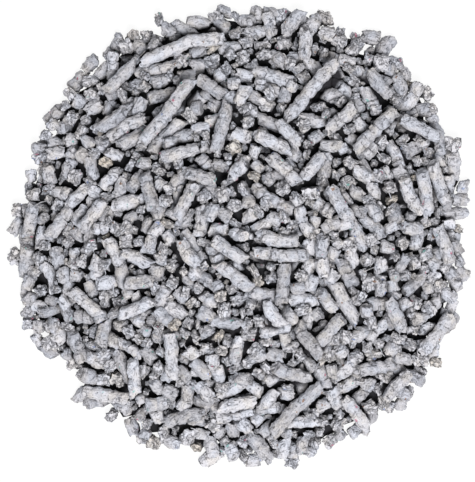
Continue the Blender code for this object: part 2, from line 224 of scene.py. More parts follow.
top_height = rest(pile, 0.0, 0.0, 0.0, PELLET_DIAMETER, PELLET_DIAMETER / 2, 0.0)[0]
print("on the core a pellet's middle lies", round(top_height / MM, 1), "mm up")

# %% Lay a pellet down and raise the map under it
SIDE_GAP = 0.8 * MM
LENGTH_RAISED = 0.95


def lay(pile, pellet):
    """Adds a pellet to the pile and raises the cells under its upper side."""
    lean = math.hypot(1, pellet.slope)
    reach = pellet.half + pellet.radius
    rows = slice(*(pile.cell(np.array([pellet.y - reach, pellet.y + reach])) + (0, 1)))
    columns = slice(*(pile.cell(np.array([pellet.x - reach, pellet.x + reach])) + (0, 1)))
    dx = pile.x[rows, columns] - pellet.x
    dy = pile.y[rows, columns] - pellet.y
    along = dx * math.cos(pellet.heading) + dy * math.sin(pellet.heading)
    across = dy * math.cos(pellet.heading) - dx * math.sin(pellet.heading)
    covered = (abs(along) < LENGTH_RAISED * pellet.half / lean) & (abs(across) < pellet.radius)
    dome = np.sqrt(np.maximum(pellet.radius**2 - across**2, 0)) * lean
    height = pellet.height + pellet.slope * along + dome
    raised = covered & (height > pile.top[rows, columns])
    pile.top[rows, columns][raised] = height[raised]
    if pellet.loose:
        margin = SIDE_GAP + pellet.bow
        near = (abs(along) < pellet.half / lean + margin) & (abs(across) < pellet.radius + margin)
        pile.kept_clear[rows, columns] |= near
    pile.pellets.append(pellet)

# %% [markdown]
# A pellet that is dropped rolls to a better place. So a few places and headings are tried near the first one,
# and it takes the one where it lies lowest. Its middle stays within the foot of the heap, and its ends may
# stray a little past it.

# %% Find the place where a pellet lies lowest
STEEPEST_SLOPE = 0.7
TURNS_TRIED = 6
END_INSET = 0.6


def within_foot(x, y, heading, half, radius, stray):
    """Whether a pellet's middle is within the foot of the heap, and its ends at most this share past it."""
    for end in (-half, 0.0, half):
        px, py = x + end * math.cos(heading), y + end * math.sin(heading)
        foot = foot_reach(math.atan2(py, px))
        if math.hypot(px, py) > (foot * (1 + stray) - END_INSET * radius if end else foot - radius):
            return False
    return True


def settle(pile, rng, x, y, heading, half, radius, gap, drift, turn, stray=0.0, crossing=False):
    """Tries a few places round this one and returns the one where the pellet comes to lie lowest."""
    found = []
    for _ in range(TURNS_TRIED):
        px, py = x + rng.normal(0, drift), y + rng.normal(0, drift)
        angle = heading + rng.uniform(-turn, turn)
        if crossing or within_foot(px, py, angle, half, radius, stray):
            height, slope, blocked = rest(pile, px, py, angle, half, radius, gap)
            if crossing or not blocked and abs(slope) < STEEPEST_SLOPE:
                lying = height - float(surface_height(px, py)) + abs(slope) * PELLET_DIAMETER
                found.append((lying, dict(x=px, y=py, heading=angle, height=height, slope=slope)))
    return min(found, key=lambda place: place[0])[1] if found else None

# %% [markdown]
# Of a few random cells the one that lacks most height gets the next pellet, and a pellet that would stand too
# proud is thrown away, until many in a row have been. The foot of the heap comes first, because its pellets
# draw the outline, and then the body of the heap.

# %% Fill the rim and the body
SEED = 11
SPOT_COUNT = 10
MISSES_ALLOWED = 100
FARTHEST_STRAY = 0.06
SINK = 0.45 * MM
DRIFT = 0.35
UNDER_LOOSE = 0.4 * PELLET_DIAMETER


def dice(number):
    """Random numbers that come out the same in each run."""
    return np.random.default_rng(SEED + number)


def fill(pile, rng, cells, below, kind=SNAPPED, anywhere=False):
    """Lays pellets in the lowest of these cells, until they come up to `below` under the surface."""
    misses = 0
    while misses < MISSES_ALLOWED:
        spots = cells[rng.integers(len(cells), size=SPOT_COUNT)]
        lacking = pile.wanted[spots[:, 0], spots[:, 1]] - pile.top[spots[:, 0], spots[:, 1]] - below
        row, column = spots[lacking.argmax()]
        misses += 1
        if lacking.max() < kind.lacking or (pile.kept_clear[row, column] and not anywhere):
            continue
        half = np.clip(rng.lognormal(math.log(kind.length), kind.spread), kind.shortest, kind.longest) / 2
        radius = kind.thickness * PELLET_DIAMETER / 2 * rng.uniform(1 - kind.varying, 1 + kind.varying)
        stray = FARTHEST_STRAY * rng.random()
        heading = rng.uniform(0, math.pi)
        drift = DRIFT * kind.thickness * PELLET_DIAMETER
        place = settle(pile, rng, pile.x[row, column], pile.y[row, column], heading, half, radius,
                       -SINK, drift, math.pi, stray, anywhere)
        if place is None or not within_foot(place["x"], place["y"], place["heading"], half, radius, stray):
            continue
        pellet = Pellet(**place, half=half, radius=radius, bow=0.0, loose=False, kind=kind.name)
        proud = pellet.height + radius - float(surface_height(pellet.x, pellet.y)) + below
        if proud < kind.proud and abs(pellet.slope) < 2 * STEEPEST_SLOPE:
            lay(pile, pellet)
            misses = 0


fill(pile, dice(0), pile.rim, 0.0)
print("pellets in the rim:", len(pile.pellets))
fill(pile, dice(1), pile.inside, UNDER_LOOSE)
print("pellets under the loose ones:", len(pile.pellets))

# %% [markdown]
# Then come the loose pellets, each about where it is stated and a small gap clear of what bears it, and what
# still fits between them.

# %% Lay the loose pellets and fill in between them
SEAT_GAP = 0.25 * MM
LOOSE_DRIFT = 1.0 * MM
LOOSE_TURN = math.radians(8)

rng = dice(2)
for x, y, length, heading, bow in SHORT_PELLETS + LONG_PELLETS:
    half, bow, radius = length * PELLET_DIAMETER / 2, bow * PELLET_DIAMETER, PELLET_DIAMETER / 2
    place = settle(pile, rng, x * HEAP_RADIUS, y * HEAP_RADIUS, math.radians(heading), half,
                   radius + bow, SEAT_GAP - bow, LOOSE_DRIFT, LOOSE_TURN, crossing=True)
    lay(pile, Pellet(**place, half=half, radius=radius, bow=bow, loose=True, kind="whole"))
fill(pile, dice(3), pile.inside, 0.0)
print("pellets laid:", len(pile.pellets))

# %% [markdown]
# The CAD part stops here, with its smooth core showing between the pellets. In the real heap stubs and crumbs
# fill those gaps, and only small, dark holes are left.

# %% Fill the gaps with stubs, crumbs and grit
STUBS = Kind("stub", 4.8 * MM, 0.28, 3.4 * MM, 8.0 * MM, 0.92, 0.12, 2.4 * MM, 1.6 * MM)
CRUMBS = Kind("crumb", 4.0 * MM, 0.25, 2.8 * MM, 5.6 * MM, 0.72, 0.20, 2.6 * MM, 0.6 * MM)
GRIT = Kind("grit", 2.8 * MM, 0.25, 1.8 * MM, 4.0 * MM, 0.48, 0.25, 3.6 * MM, -1.2 * MM)
for kind in (STUBS, CRUMBS, GRIT):
    before = len(pile.pellets)
    fill(pile, dice(10), np.argwhere(pile.body), 0.0, kind, anywhere=True)
    print(kind.name, "laid:", len(pile.pellets) - before)

# %% [markdown]
# Many of the pellets have snapped where they lie. Most of the longer ones are parted here, the longest into
# three, and each part is turned and tilted a little.

# %% Snap the longer pellets
SNAPS_FROM = 7.4 * MM
SNAPPING = 0.8
SNAPS_TWICE_FROM = 13 * MM
ONE_SNAP = 0.3
TWO_SNAPS = (0.2, 0.5)
PART_LENGTHENING = 1.05
PART_TURN = 0.25
PART_TILT = 0.22


def parted(pellet, rng):
    """The two or three parts that a pellet leaves when it snaps in place."""
    lean = math.hypot(1, pellet.slope)
    joints = [-1, rng.uniform(-ONE_SNAP, ONE_SNAP), 1]
    if 2 * pellet.half > SNAPS_TWICE_FROM:
        joints[1:2] = rng.uniform(-TWO_SNAPS[1], -TWO_SNAPS[0]), rng.uniform(*TWO_SNAPS)
    for low, high in zip(joints, joints[1:]):
        along = (low + high) / 2 * pellet.half / lean
        yield pellet._replace(
            x=pellet.x + along * math.cos(pellet.heading),
            y=pellet.y + along * math.sin(pellet.heading),
            height=pellet.height + pellet.slope * along,
            half=PART_LENGTHENING * (high - low) / 2 * pellet.half,
            heading=pellet.heading + rng.normal(0, PART_TURN),
            slope=pellet.slope + rng.normal(0, PART_TILT),
            kind="part")


rng = dice(15)
laid = []
for pellet in pile.pellets:
    snaps = pellet.kind == "snapped" and 2 * pellet.half > SNAPS_FROM and rng.random() < SNAPPING
    laid += parted(pellet, rng) if snaps else [pellet]
print("pieces to model:", len(laid))

# %% [markdown]
# ## The shape of one pellet
#
# A pellet leaves the press as a clean round bar and loses that at once. Drying opens cracks across it, knocks
# put a kink in it, and it snaps at a slant, with a torn, fibrous face. Modelled by hand, that is a cylinder
# whose ends are cut off by two slanted planes, beveled, inset and poked so that the broken faces have points
# to move. Its long edges are divided into rings, some rings are pinched to cracks, and what lies past a kink
# is turned a little. Displace modifiers then lump the skin and tear the ends.
#
# An operator in edit mode acts on what is selected, so the first helpers go into edit mode and select.

# %% Helpers for edit mode
END_FACING = 0.6


@contextmanager
def editing(shape):
    """Edit mode on one shape, with nothing selected."""
    bpy.context.view_layer.objects.active = shape
    bpy.ops.object.mode_set(mode="EDIT")
    bpy.ops.mesh.select_all(action="DESELECT")
    yield
    bpy.ops.object.mode_set(mode="OBJECT")


def pick(shape, kind, test):
    """Selects just the vertices, edges or faces that pass the test."""
    bpy.ops.mesh.select_mode(type=kind)
    bpy.ops.mesh.select_all(action="DESELECT")
    bm = bmesh.from_edit_mesh(shape.data)
    for item in {"VERT": bm.verts, "EDGE": bm.edges, "FACE": bm.faces}[kind]:
        if test(item):
            item.select_set(True)
    bmesh.update_edit_mesh(shape.data)


def is_cap(face):
    """Whether a face looks along the pellet rather than out of its side."""
    return abs(face.normal.x) > END_FACING


def add_rod(sides, radius, length):
    """A round rod along X."""
    bpy.ops.object.select_all(action="DESELECT")
    bpy.ops.mesh.primitive_cylinder_add(vertices=sides, radius=radius, depth=length,
                                        rotation=(0, math.pi / 2, 0))
    bpy.ops.object.transform_apply(location=True, rotation=True, scale=True)
    return bpy.context.object


def run_along(edge):
    """How far an edge runs along the pellet."""
    return abs(edge.verts[0].co.x - edge.verts[1].co.x)


# %% [markdown]
# A Displace modifier reads its pattern at places in the world. While it is applied, the shape is moved to a
# random place, so that each shape gets lumps of its own.

# %% Helpers for rough skins
def roughen(shape, rng, kind, size, strength, direction="NORMAL", group="", middle=0.5):
    """Moves the skin in and out by a cloud or cell pattern, at a random place in that pattern."""
    texture = bpy.data.textures.new("lumps", kind)
    texture.noise_scale = size
    shape.location = rng.uniform(-1, 1, 3)
    modifier = shape.modifiers.new("lumps", "DISPLACE")
    modifier.texture = texture
    modifier.texture_coords = "GLOBAL"
    modifier.direction = direction
    modifier.vertex_group = group
    modifier.strength = strength
    modifier.mid_level = middle
    bpy.context.view_layer.objects.active = shape
    bpy.context.view_layer.update()
    bpy.ops.object.modifier_apply(modifier=modifier.name)
    shape.location = (0, 0, 0)
    bpy.data.textures.remove(texture)


def places_of(mesh):
    """All vertices of a mesh as rows of x, y and z."""
    places = np.empty(3 * len(mesh.vertices), np.float32)
    mesh.vertices.foreach_get("co", places)
    return places.reshape(-1, 3)


def move_to(mesh, places):
    """Moves all vertices of a mesh."""
    mesh.vertices.foreach_set("co", places.astype(np.float32).ravel())


def store(mesh, name, values):
    """Keeps a number or a place for each vertex, where the material can read it."""
    kind, what = ("FLOAT_VECTOR", "vector") if values.ndim > 1 else ("FLOAT", "value")
    mesh.attributes.new(name, kind, "POINT").data.foreach_set(what, values.astype(np.float32).ravel())


# %% Ends that are worn and torn
TAPER_STEPS = (2.4 * MM, 1.4 * MM, 0.6 * MM)
TORN_LENGTH = 0.35 * PELLET_DIAMETER
TEAR_SIZE, TEAR_STRENGTH = 1.1 * MM, 2.0 * MM


def taper(shape, side, length, narrowing):
    """Narrows one end in steps, as where crumbs have come off its edge."""
    for back in TAPER_STEPS:
        pick(shape, "VERT", lambda vert, back=back: side * vert.co.x > length / 2 - back)
        bpy.ops.transform.resize(value=(1, narrowing, narrowing), center_override=(0, 0, 0))


def tear_ends(shape, rng, length):
    """Tears the broken faces along the pellet, more the nearer they are to its ends."""
    ends = shape.vertex_groups.new(name="ends")
    for vert in shape.data.vertices:
        near = 1 - (length / 2 - abs(vert.co.x)) / TORN_LENGTH
        if near > 0:
            ends.add([vert.index], min(near, 1.0), "REPLACE")
    roughen(shape, rng, "CLOUDS", TEAR_SIZE, TEAR_STRENGTH, "X", ends.name)


# %% Cracks, kinks and bows
RING_STEP = 0.65 * MM
CRACK_PLACES = 0.36
CRACK_BACK = -0.3
CRACK_PINCH = (0.72, 0.92)
KINK_TURNS = (("Y", 0.05), ("Z", 0.08))
KINK_SHIFT = 0.12
BEND_PLACES = (-0.3, -0.1, 0.1, 0.3)


def pinch_crack(shape, rng, length, radius):
    """Pinches part of one ring, as where drying has opened a crack across the pellet."""
    place = rng.uniform(-CRACK_PLACES, CRACK_PLACES) * length
    side = rng.uniform(0, 2 * math.pi)
    way = Vector((0, math.cos(side), math.sin(side)))
    reach = CRACK_BACK * radius
    pick(shape, "VERT", lambda vert: abs(vert.co.x - place) < RING_STEP / 2 and vert.co.dot(way) > reach)
    depth = rng.uniform(*CRACK_PINCH)
    bpy.ops.transform.resize(value=(1, depth, depth), center_override=(place, 0, 0))


def kink(shape, rng, place):
    """Turns what lies past this place a little, and shifts it, as a knock does."""
    pick(shape, "VERT", lambda vert: vert.co.x > place)
    for axis, turn in KINK_TURNS:
        bpy.ops.transform.rotate(value=rng.normal(0, turn), orient_axis=axis, center_override=(place, 0, 0))
    bpy.ops.transform.translate(value=(0, rng.normal(0, KINK_SHIFT) * MM, rng.normal(0, KINK_SHIFT) * MM))


def bend(shape, length, bow):
    """Bends the pellet to an even bow by small turns at a few places."""
    turn = 2 * bow / length
    for share in BEND_PLACES:
        place = share * length
        pick(shape, "VERT", lambda vert, place=place: vert.co.x > place)
        bpy.ops.transform.rotate(value=turn, orient_axis="Z", center_override=(place, 0, 0))
    bpy.ops.mesh.select_all(action="SELECT")
    bpy.ops.transform.rotate(value=-len(BEND_PLACES) / 2 * turn, orient_axis="Z", center_override=(0, 0, 0))


# %% Model a pellet
SIDES = 20
SPARE_LENGTH = 1.5
END_SLANT = 0.32
WORN_EDGE = 0.18 * MM
END_RINGS = (0.6 * MM, 0.7 * MM)
LONG_EDGE = 0.35
NARROWING = (0.92, 1.0)
KINK_EVERY = 1.8 * PELLET_DIAMETER
KINK_PLACES = 0.35
SKIN_LUMPS = ((2.2 * MM, 1.3 * MM), (0.8 * MM, 0.6 * MM))


def is_end(face):
    """Whether a face is the whole round face at the end of a pellet."""
    return is_cap(face) and len(face.verts) >= SIDES


def model_pellet(length, radius, rng, bow=0.0, cracks=None):
    """One pellet along X, with slanted broken ends, cracks and a slight bend."""
    shape = add_rod(SIDES, radius, SPARE_LENGTH * length)
    with editing(shape):
        for side in (-1, 1):
            bpy.ops.mesh.select_all(action="SELECT")
            slant = rng.normal(0, END_SLANT, 2)
            bpy.ops.mesh.bisect(plane_co=(side * length / 2, 0, 0), plane_no=(side, *slant),
                                use_fill=True, clear_outer=True)
        pick(shape, "EDGE", lambda edge: any(is_cap(face) for face in edge.link_faces))
        bpy.ops.mesh.bevel(offset=WORN_EDGE, segments=2, affect="EDGES")
        for width in END_RINGS:
            pick(shape, "FACE", is_end)
            bpy.ops.mesh.inset(thickness=width)
        pick(shape, "FACE", is_end)
        bpy.ops.mesh.poke()
        pick(shape, "EDGE", lambda edge: run_along(edge) > LONG_EDGE * length)
        bpy.ops.mesh.subdivide(number_cuts=max(2, round(length / RING_STEP) - 2))
        for side in (-1, 1):
            taper(shape, side, length, rng.uniform(*NARROWING))
        for _ in range(rng.integers(0, 2) if cracks is None else cracks):
            pinch_crack(shape, rng, length, radius)
        if bow:
            bend(shape, length, bow)
        for _ in range(round(length / KINK_EVERY)):
            kink(shape, rng, rng.uniform(-KINK_PLACES, KINK_PLACES) * length)
        bpy.ops.mesh.select_all(action="SELECT")
        bpy.ops.mesh.normals_make_consistent(inside=False)
    tear_ends(shape, rng, length)
    for size, strength in SKIN_LUMPS:
        roughen(shape, rng, "CLOUDS", size, strength)
    return shape


# %% [markdown]
# ## The shape of one crumb
#
# A crumb is a scrap of pulp, torn off and rolled up. It starts as a cube, divided and cast to a ball, because
# the squares of such a ball are all about the same size. It is then squashed, dented by a cell pattern, which
# leaves folds, and roughened by clouds.

# %% Model a crumb
ROUNDNESS = 0.93
SQUASHING = ((0.95, 1.1), (0.75, 1.0), (0.75, 1.0))
FOLD_SIZE, FOLD_STRENGTH, FOLD_MIDDLE = 3.4 * MM, 2.6 * MM, 0.35
CRUMB_LUMPS = ((1.8 * MM, 2.2 * MM), (0.7 * MM, 0.9 * MM))


def model_crumb(rng, cuts):
    """One torn crumb about as thick as a pellet, with its longest side along X."""
    bpy.ops.object.select_all(action="DESELECT")
    bpy.ops.mesh.primitive_cube_add(size=PELLET_DIAMETER)
    shape = bpy.context.object
    with editing(shape):
        bpy.ops.mesh.select_all(action="SELECT")
        bpy.ops.mesh.subdivide(number_cuts=cuts)
    rounding = shape.modifiers.new("rounding", "CAST")
    rounding.factor = ROUNDNESS
    rounding.radius = PELLET_DIAMETER / 2
    rounding.use_radius_as_size = True
    bpy.ops.object.modifier_apply(modifier=rounding.name)
    with editing(shape):
        bpy.ops.mesh.select_all(action="SELECT")
        bpy.ops.transform.resize(value=[rng.uniform(*least_and_most) for least_and_most in SQUASHING],
                                 center_override=(0, 0, 0))
    roughen(shape, rng, "VORONOI", FOLD_SIZE, FOLD_STRENGTH, middle=FOLD_MIDDLE)
    for size, strength in CRUMB_LUMPS:
        roughen(shape, rng, "CLOUDS", size, strength)
    places = places_of(shape.data)
    places *= PELLET_DIAMETER / np.ptp(places, axis=0)
    move_to(shape.data, places)
    return shape


# %% [markdown]
# ## A tray of shapes to copy
#
# What repeats is modelled once and copied. Eight lengths in four versions make 32 pellets, and sixteen crumbs
# and sixteen bits of grit, which are small crumbs with fewer squares, go with them. Each vertex keeps its
# place on its own shape in `own_place`, so that fibres and flecks stay with the pellet wherever it lies.

# %% Model the tray
TRAY_LENGTHS = [length * MM for length in (4.8, 6.0, 7.2, 8.4, 9.8, 11.4, 13.4, 16.0)]
VERSIONS = 4
CRUMB_SHAPES = 16
CRUMB_CUTS, GRIT_CUTS = 6, 3


def keep_own_place(shape):
    """Stores where each vertex is on its own shape, before the shape is copied and turned."""
    store(shape.data, "own_place", places_of(shape.data))
    return shape


rng = dice(20)
tray = [
    (length, keep_own_place(model_pellet(length, PELLET_DIAMETER / 2, rng)))
    for length in TRAY_LENGTHS
    for _ in range(VERSIONS)
]
crumb_tray = [keep_own_place(model_crumb(rng, CRUMB_CUTS)) for _ in range(CRUMB_SHAPES)]
grit_tray = [keep_own_place(model_crumb(rng, GRIT_CUTS)) for _ in range(CRUMB_SHAPES)]
print("shapes:", len(tray), "pellets,", len(crumb_tray), "crumbs and", len(grit_tray), "bits of grit")
for shape in (tray[len(tray) // 2][1], crumb_tray[0], grit_tray[0]):
    print("faces of one:", len(shape.data.polygons))

# %% [markdown]
# ## Laying the copies
#
# Copies are gathered by place into a middle, an inner ring and an outer ring of pieces. One object for the
# whole heap would be too large to export, and one for each pellet would be far too many. Each copy has a mesh
# and a random number of its own, by which the material tells pellets apart.

# %% Helpers to place a shape
INNER_EDGE, OUTER_EDGE = 22 * MM, 58 * MM
INNER_PIECES, OUTER_PIECES = 6, 14


def piece_at(x, y):
    """The name of the piece of the heap that holds this place."""
    distance, turn = math.hypot(x, y), math.atan2(y, x) / (2 * math.pi) % 1
    if distance < INNER_EDGE:
        return "pellets_middle"
    if distance < OUTER_EDGE:
        return f"pellets_inner_{int(turn * INNER_PIECES) + 1:02d}"
    return f"pellets_outer_{int(turn * OUTER_PIECES) + 1:02d}"


def place_copy(shape, matrix, number):
    """A copy of a shape with its own mesh, moved to its place. Its number is over 1 where it is a crumb."""
    mesh = shape.data.copy()
    mesh.transform(matrix)
    store(mesh, "own_number", np.full(len(mesh.vertices), number))
    copy = bpy.data.objects.new("copy", mesh)
    bpy.context.scene.collection.objects.link(copy)
    return copy


def turned(pellet, roll, scale=(1, 1, 1)):
    """The matrix that lays a shape along X down where the pellet lies."""
    return (
        Matrix.Translation((pellet.x, pellet.y, pellet.height))
        @ Matrix.Rotation(pellet.heading, 4, "Z")
        @ Matrix.Rotation(-math.atan(pellet.slope), 4, "Y")
        @ Matrix.Rotation(roll, 4, "X")
        @ Matrix.Diagonal((*scale, 1))
    )


# %% [markdown]
# Every loose pellet on top is modelled for itself, at its own length and bow, and lies at the height of the
# CAD node that it replaces.

# %% Model and place the loose pellets
LOOSE_CRACKS = (1, 4)

rng = dice(21)
copies = defaultdict(list)
nodes_in = defaultdict(list)
node_names = [f"short_pellet_{place + 1:02d}" for place in range(len(SHORT_PELLETS))]
node_names += [f"long_pellet_{place + 1:02d}" for place in range(len(LONG_PELLETS))]
loose = [pellet for pellet in laid if pellet.loose]
for name, pellet in zip(node_names, loose):
    low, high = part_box(name)
    pellet = pellet._replace(height=(low[2] + high[2]) / 2)
    cracks = rng.integers(*LOOSE_CRACKS)
    shape = keep_own_place(model_pellet(2 * pellet.half, pellet.radius, rng, pellet.bow, cracks))
    copies[piece_at(pellet.x, pellet.y)].append(place_copy(shape, turned(pellet, 0.0), rng.random()))
    nodes_in[piece_at(pellet.x, pellet.y)].append(name)
    bpy.data.objects.remove(shape)
print("loose pellets placed:", len(loose))

# %% [markdown]
# All others take a shape from the tray of about their length, stretched to fit, rolled at random and turned
# end for end half the time. Many of the short ones have crumbled, and take a crumb instead.

# %% Place the copies
CRUMBLING = {"snapped": 0.4, "part": 0.4, "stub": 0.65, "crumb": 1.0}
LONGEST_CRUMB = 8 * MM
THICKENING = (0.95, 1.14)
CRUMB_THICKENING = (1.0, 1.3)
CRUMB_FLATNESS = (0.6, 0.95)
STUB_TILT = 0.6

for pellet in laid:
    if pellet.loose:
        continue
    thickness = 2 * pellet.radius / PELLET_DIAMETER * rng.uniform(*THICKENING)
    flatness = 1.0
    is_crumb = pellet.kind == "grit"
    if not is_crumb and 2 * pellet.half < LONGEST_CRUMB:
        is_crumb = rng.random() < CRUMBLING[pellet.kind]
    if is_crumb:
        crumbs = grit_tray if pellet.kind == "grit" else crumb_tray
        natural, shape = PELLET_DIAMETER, crumbs[rng.integers(CRUMB_SHAPES)]
        thickness *= rng.uniform(*CRUMB_THICKENING)
        flatness = rng.uniform(*CRUMB_FLATNESS)
    else:
        nearest = sorted(tray, key=lambda item: abs(item[0] - 2 * pellet.half))[:VERSIONS]
        natural, shape = nearest[rng.integers(VERSIONS)]
    if pellet.kind == "stub":
        pellet = pellet._replace(slope=pellet.slope + rng.normal(0, STUB_TILT))
    scale = (2 * pellet.half / natural, thickness, thickness * flatness)
    matrix = turned(pellet, rng.uniform(0, 2 * math.pi), scale)
    if rng.random() < 0.5:
        matrix = matrix @ Matrix.Rotation(math.pi, 4, "Z")
    copies[piece_at(pellet.x, pellet.y)].append(place_copy(shape, matrix, is_crumb + rng.random()))
for shape in [shape for _, shape in tray] + crumb_tray + grit_tray:
    bpy.data.objects.remove(shape)
print("copies placed:", sum(len(group) for group in copies.values()), "in", len(copies), "pieces")

# %% [markdown]
# Each vertex gets its depth under the heap's blurred upper side, for the painted shade between pellets.

# %% Measure how deep a point lies
BLUR = 2


def blurred(height, reach):
    """The height map, averaged over squares of this reach."""
    total = height.copy()
    for axis in (0, 1):
        total = sum(np.roll(total, step, axis) for step in range(-reach, reach + 1)) / (2 * reach + 1)
    return total


def read_map(height, x, y):
    """The height map at these places, blended between its cells."""
    row, column = (y - pile.low) / CELL, (x - pile.low) / CELL
    top, left = np.clip(row.astype(int), 0, pile.count - 2), np.clip(column.astype(int), 0, pile.count - 2)
    down, right = np.clip(row - top, 0, 1), np.clip(column - left, 0, 1)
    upper = height[top, left] * (1 - right) + height[top, left + 1] * right
    lower = height[top + 1, left] * (1 - right) + height[top + 1, left + 1] * right
    return upper * (1 - down) + lower * down


cover = blurred(blurred(pile.top, BLUR), BLUR)
print("highest place of the blurred upper side:", round(cover.max() / MM, 1), "mm")

# %% [markdown]
# Joined, the copies of one piece get one more pass of lumps, which no longer repeats from copy to copy. What
# that pushes under the table is pressed flat on it.

# %% Join the copies
LUMP_SIZE, LUMP_STRENGTH = 3.0 * MM, 0.9 * MM
CREASE = math.radians(32)


def joined(parts, name):
    """These objects as one piece."""
    bpy.ops.object.select_all(action="DESELECT")
    for part in parts:
        part.select_set(True)
    bpy.context.view_layer.objects.active = parts[0]
    bpy.ops.object.join()
    piece = bpy.context.object
    piece.name = piece.data.name = name
    return piece


def finish_mesh(piece):
    """Presses a piece flat on the table, stores its depth in the heap, and smooths its shading."""
    places = places_of(piece.data)
    places[:, 2] = np.maximum(places[:, 2], 0)
    move_to(piece.data, places)
    store(piece.data, "depth", read_map(cover, places[:, 0], places[:, 1]) - places[:, 2])
    piece.data.shade_smooth()
    piece.data.set_sharp_from_angle(angle=CREASE)
    piece.data.update()


pieces = []
for name in sorted(copies):
    piece = joined(copies[name], name)
    roughen(piece, dice(30), "CLOUDS", LUMP_SIZE, LUMP_STRENGTH)
    finish_mesh(piece)
    pieces.append(piece)
print("largest piece:", max(len(piece.data.polygons) for piece in pieces), "faces;",
      "all pieces:", sum(len(piece.data.polygons) for piece in pieces), "faces")

# %% [markdown]
# ## Stray fibres
#
# Where pulp has torn, paper fibres stick out of it. Each is a thin rod, narrowed at its ends and kinked at
# four places. It starts inside a crumb, so it hangs on to the heap, and rises out of it at a low slope. The
# fibres are too thin for the pass of lumps, so they are a piece of their own.

# %% Model the fibres
FIBRE_SHAPES = 8
FIBRE_SIDES = 5
FIBRE_CUTS = 7
FIBRE_LENGTH = 4.5 * MM
FIBRE_THICKNESS = 0.34 * MM
FIBRE_BEND = 0.3
TIP_FROM, TIP_WIDTH = 0.45, 0.4


def model_fibre(rng):
    """One stray fibre along X."""
    shape = add_rod(FIBRE_SIDES, FIBRE_THICKNESS / 2, FIBRE_LENGTH)
    with editing(shape):
        pick(shape, "EDGE", lambda edge: run_along(edge) > FIBRE_LENGTH / 2)
        bpy.ops.mesh.subdivide(number_cuts=FIBRE_CUTS)
        pick(shape, "VERT", lambda vert: abs(vert.co.x) > TIP_FROM * FIBRE_LENGTH)
        bpy.ops.transform.resize(value=(1, TIP_WIDTH, TIP_WIDTH), center_override=(0, 0, 0))
        for share in BEND_PLACES:
            place = share * FIBRE_LENGTH
            pick(shape, "VERT", lambda vert, place=place: vert.co.x > place)
            for axis in "YZ":
                bpy.ops.transform.rotate(value=rng.normal(0, FIBRE_BEND), orient_axis=axis,
                                         center_override=(place, 0, 0))
    return shape


rng = dice(22)
fibre_tray = [keep_own_place(model_fibre(rng)) for _ in range(FIBRE_SHAPES)]
print("faces of one fibre:", len(fibre_tray[0].data.polygons))

# %% Let the fibres stick out of stubs and crumbs
FRAYING = 0.5
FIBRE_STRETCH = (0.7, 1.3)
FIBRE_RISE = 0.5
FIBRE_HEIGHT = 0.9

fibres = []
for pellet in laid:
    if pellet.kind in ("stub", "crumb") and rng.random() < FRAYING:
        heading, stretch = rng.uniform(0, 2 * math.pi), rng.uniform(*FIBRE_STRETCH)
        out = 0.5 * stretch * FIBRE_LENGTH
        lying = pellet._replace(
            x=pellet.x + out * math.cos(heading),
            y=pellet.y + out * math.sin(heading),
            heading=heading,
            height=pellet.height + FIBRE_HEIGHT * pellet.radius,
            slope=rng.uniform(0.0, FIBRE_RISE))
        matrix = turned(lying, rng.uniform(0, 2 * math.pi), (stretch, 1, 1))
        fibres.append(place_copy(fibre_tray[rng.integers(FIBRE_SHAPES)], matrix, rng.random()))
for shape in fibre_tray:
    bpy.data.objects.remove(shape)
count = len(fibres)
stray_fibres = joined(fibres, "stray_fibres")
finish_mesh(stray_fibres)
pieces.append(stray_fibres)
print("stray fibres:", count, "with", len(stray_fibres.data.polygons), "faces")

# %% [markdown]
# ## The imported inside
#
# Deep between the pellets more pellets lie in the dark. One closed, lumpy dome stands in for them all: a ball
# cut off at the table, drawn out to the foot of the heap and dented by a cell pattern. Its edge is ragged and
# pressed down to a thin wedge, so that it doesn't show between the pellets from the side.

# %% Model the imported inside
INSIDE_DEPTH = CORE_DEPTH + 2.2 * MM
FOOT_GAP = 3.5 * MM
RAGGEDNESS = 1.2 * MM
UNDERSIDE = 0.05 * MM
CLOD_SIZE, CLOD_STRENGTH = 5 * MM, 3 * MM
EDGE_HEIGHT = 0.3 * MM
EDGE_RISE = 0.5

bpy.ops.object.select_all(action="DESELECT")
bpy.ops.mesh.primitive_uv_sphere_add(segments=120, ring_count=80, radius=1)
packed_inside = bpy.context.object
packed_inside.name = packed_inside.data.name = "packed_inside"
with editing(packed_inside):
    bpy.ops.mesh.select_all(action="SELECT")
    bpy.ops.mesh.bisect(plane_co=(0, 0, 0.001), plane_no=(0, 0, -1), use_fill=True, clear_outer=True)
unit = places_of(packed_inside.data)
angle = np.arctan2(unit[:, 1], unit[:, 0])
share = np.minimum(np.hypot(unit[:, 0], unit[:, 1]), 1)
ragged = RAGGEDNESS * (np.sin(31 * angle) + np.sin(47 * angle + 2))
reach = foot_reach(angle) / SKIRT_SCALE - FOOT_GAP + ragged
drawn = np.stack([share * reach * np.cos(angle), share * reach * np.sin(angle)])
height = np.where(unit[:, 2] > 0.002, core_height(*drawn, INSIDE_DEPTH), UNDERSIDE)
move_to(packed_inside.data, np.stack([*drawn, height], axis=1))
roughen(packed_inside, dice(40), "VORONOI", CLOD_SIZE, CLOD_STRENGTH, "Z")
places = places_of(packed_inside.data)
places[:, 2] = np.minimum(places[:, 2], EDGE_HEIGHT + EDGE_RISE * (1 - share) * reach)
move_to(packed_inside.data, places)
finish_mesh(packed_inside)
print("packed inside:", len(packed_inside.data.polygons), "faces")
